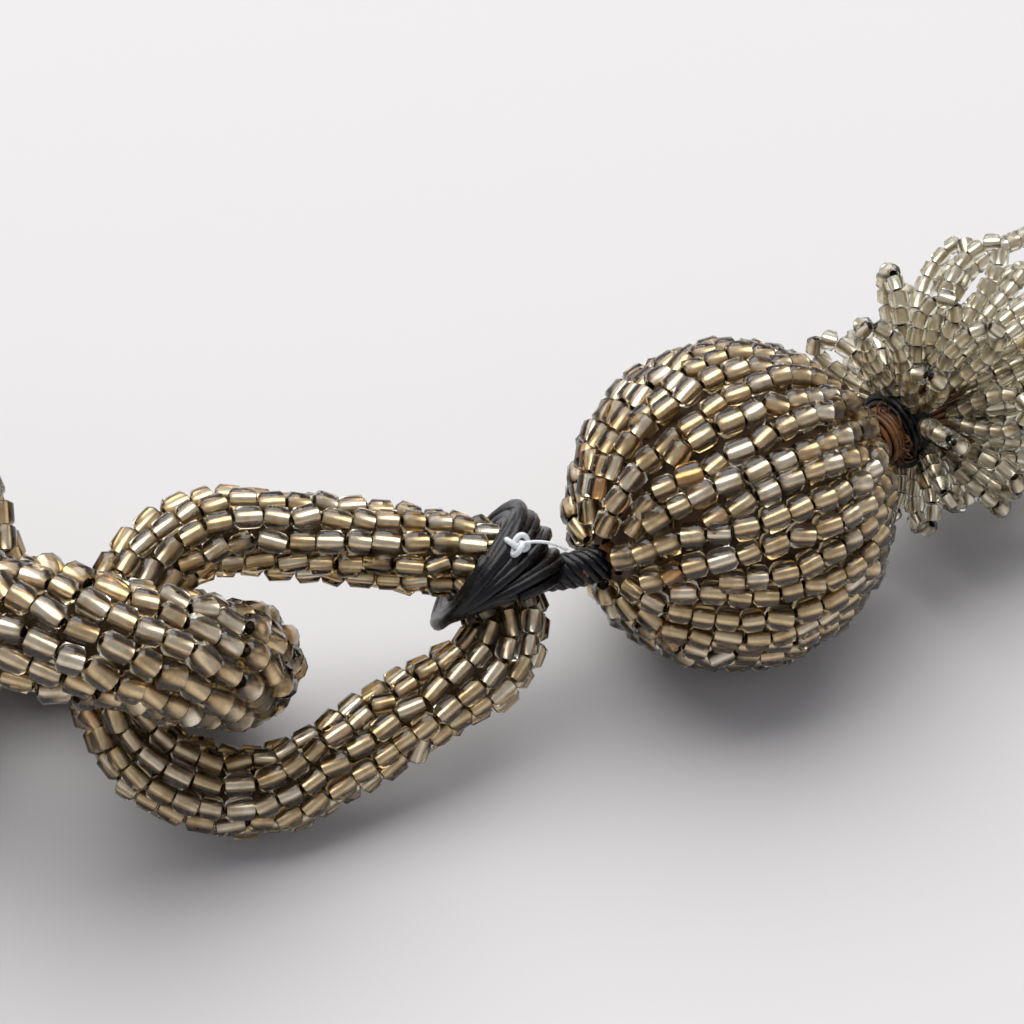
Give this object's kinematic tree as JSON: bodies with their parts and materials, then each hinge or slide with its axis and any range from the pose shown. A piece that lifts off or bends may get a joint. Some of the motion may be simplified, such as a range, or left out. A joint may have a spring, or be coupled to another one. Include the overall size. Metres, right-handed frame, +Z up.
{
  "type": "beaded chain headband",
  "caption": "Headband of interlocked oval links of bead-covered rope, each end with a slimmer loop, a beaded ball and a tassel of bead strands.",
  "frame": {"origin": "under the middle of the chain and its two balls, on the surface that it lies on", "axes": "+X towards the end with tassel 1, +Y towards the end with tassel 2, +Z up"},
  "size_m": [0.3083, 0.2927, 0.0289],
  "materials": {
    "link_beads": "silver-lined smoky champagne glass seed beads, polished",
    "loop_beads": "silver-lined smoky champagne glass seed beads, polished, one size smaller",
    "ball_beads": "silver-lined smoky glass seed beads with amber glints",
    "tassel_beads": "paler silver-lined glass seed beads",
    "core_cord": "dark brown cotton",
    "ball_wood": "plain turned wood",
    "black_thread": "black waxed thread, tight glossy turns",
    "brown_thread": "brown waxed thread",
    "nylon_line": "clear nylon line"
  },
  "bodies": {
    "link_01": {"link_01_beads": "link_beads", "link_01_cord": "core_cord"},
    "link_02": {"link_02_beads": "link_beads", "link_02_cord": "core_cord"},
    "link_03": {"link_03_beads": "link_beads", "link_03_cord": "core_cord"},
    "link_04": {"link_04_beads": "link_beads", "link_04_cord": "core_cord"},
    "link_05": {"link_05_beads": "link_beads", "link_05_cord": "core_cord"},
    "link_06": {"link_06_beads": "link_beads", "link_06_cord": "core_cord"},
    "link_07": {"link_07_beads": "link_beads", "link_07_cord": "core_cord"},
    "link_08": {"link_08_beads": "link_beads", "link_08_cord": "core_cord"},
    "link_09": {"link_09_beads": "link_beads", "link_09_cord": "core_cord"},
    "link_10": {"link_10_beads": "link_beads", "link_10_cord": "core_cord"},
    "link_11": {"link_11_beads": "link_beads", "link_11_cord": "core_cord"},
    "end_loop_1": {"end_loop_1_beads": "loop_beads", "end_loop_1_cord": "core_cord", "lashing_1": "black_thread", "nylon_knot_1": "nylon_line"},
    "hanging_cord_1": {"hanging_cord_1": "brown_thread"},
    "ball_1": {"ball_1_core": "ball_wood", "ball_1_beads": "ball_beads"},
    "tassel_1": {"neck_binding_1": "brown_thread", "neck_wrap_1": "black_thread", "tassel_1_threads": "brown_thread", "rosette_1": "tassel_beads", "tassel_1_strand_1": "tassel_beads", "tassel_1_strand_2": "tassel_beads", "tassel_1_strand_3": "tassel_beads", "tassel_1_strand_4": "tassel_beads", "tassel_1_strand_5": "tassel_beads", "tassel_1_strand_6": "tassel_beads", "tassel_1_strand_7": "tassel_beads"},
    "end_loop_2": {"end_loop_2_beads": "loop_beads", "end_loop_2_cord": "core_cord", "lashing_2": "black_thread", "nylon_knot_2": "nylon_line"},
    "hanging_cord_2": {"hanging_cord_2": "brown_thread"},
    "ball_2": {"ball_2_core": "ball_wood", "ball_2_beads": "ball_beads"},
    "tassel_2": {"neck_binding_2": "brown_thread", "neck_wrap_2": "black_thread", "tassel_2_threads": "brown_thread", "rosette_2": "tassel_beads", "tassel_2_strand_1": "tassel_beads", "tassel_2_strand_2": "tassel_beads", "tassel_2_strand_3": "tassel_beads", "tassel_2_strand_4": "tassel_beads", "tassel_2_strand_5": "tassel_beads", "tassel_2_strand_6": "tassel_beads", "tassel_2_strand_7": "tassel_beads"}
  },
  "joints": [
    {"name": "link_05_swing", "type": "hinge", "parent": "link_06", "child": "link_05", "pos_m": [-0.05626, -0.07714, 0], "axis": [0, 0, 1], "range_deg": [-12, 7]},
    {"name": "link_04_swing", "type": "hinge", "parent": "link_05", "child": "link_04", "pos_m": [-0.03311, -0.09104, 0], "axis": [0, 0, 1], "range_deg": [-12, 7]},
    {"name": "link_03_swing", "type": "hinge", "parent": "link_04", "child": "link_03", "pos_m": [-0.00791, -0.10072, 0], "axis": [0, 0, 1], "range_deg": [-12, 7]},
    {"name": "link_02_swing", "type": "hinge", "parent": "link_03", "child": "link_02", "pos_m": [0.0185, -0.10633, 0], "axis": [0, 0, 1], "range_deg": [-12, 7]},
    {"name": "link_01_swing", "type": "hinge", "parent": "link_02", "child": "link_01", "pos_m": [0.04344, -0.10808, 0], "axis": [0, 0, 1], "range_deg": [-8, 7]},
    {"name": "end_loop_1_swing", "type": "hinge", "parent": "link_01", "child": "end_loop_1", "pos_m": [0.06853, -0.11527, 0], "axis": [0, 0, 1], "range_deg": [-10, 7]},
    {"name": "link_07_swing", "type": "hinge", "parent": "link_06", "child": "link_07", "pos_m": [-0.07663, -0.05942, 0], "axis": [0, 0, -1], "range_deg": [-12, 7]},
    {"name": "link_08_swing", "type": "hinge", "parent": "link_07", "child": "link_08", "pos_m": [-0.09363, -0.03844, 0], "axis": [0, 0, -1], "range_deg": [-12, 7]},
    {"name": "link_09_swing", "type": "hinge", "parent": "link_08", "child": "link_09", "pos_m": [-0.10672, -0.01482, 0], "axis": [0, 0, -1], "range_deg": [-12, 7]},
    {"name": "link_10_swing", "type": "hinge", "parent": "link_09", "child": "link_10", "pos_m": [-0.11551, 0.0107, 0], "axis": [0, 0, -1], "range_deg": [-12, 7]},
    {"name": "link_11_swing", "type": "hinge", "parent": "link_10", "child": "link_11", "pos_m": [-0.11973, 0.03737, 0], "axis": [0, 0, -1], "range_deg": [-12, 7]},
    {"name": "end_loop_2_swing", "type": "hinge", "parent": "link_11", "child": "end_loop_2", "pos_m": [-0.11924, 0.06547, 0], "axis": [0, 0, -1], "range_deg": [-9, 7]},
    {"name": "ball_1_swing", "type": "hinge", "parent": "end_loop_1", "child": "hanging_cord_1", "pos_m": [0.09962, -0.10606, 0.01362], "axis": [0, 0, 1], "range_deg": [-15, 15]},
    {"name": "ball_1_turn", "type": "hinge", "parent": "hanging_cord_1", "child": "ball_1", "pos_m": [0.11218, -0.09851, 0.01362], "axis": [0.8572, 0.515, 0], "range_deg": [-60, 60]},
    {"name": "tassel_1_swing", "type": "hinge", "parent": "hanging_cord_1", "child": "tassel_1", "pos_m": [0.12431, -0.09122, 0.01362], "axis": [0, 0, 1], "range_deg": [-8, 8]},
    {"name": "ball_2_swing", "type": "hinge", "parent": "end_loop_2", "child": "hanging_cord_2", "pos_m": [-0.1059, 0.09526, 0.01362], "axis": [0, 0, -1], "range_deg": [-15, 15]},
    {"name": "ball_2_turn", "type": "hinge", "parent": "hanging_cord_2", "child": "ball_2", "pos_m": [-0.09708, 0.10696, 0.01362], "axis": [0.6018, 0.7986, 0], "range_deg": [-60, 60]},
    {"name": "tassel_2_swing", "type": "hinge", "parent": "hanging_cord_2", "child": "tassel_2", "pos_m": [-0.08856, 0.11826, 0.01362], "axis": [0, 0, -1], "range_deg": [-8, 8]}
  ]
}
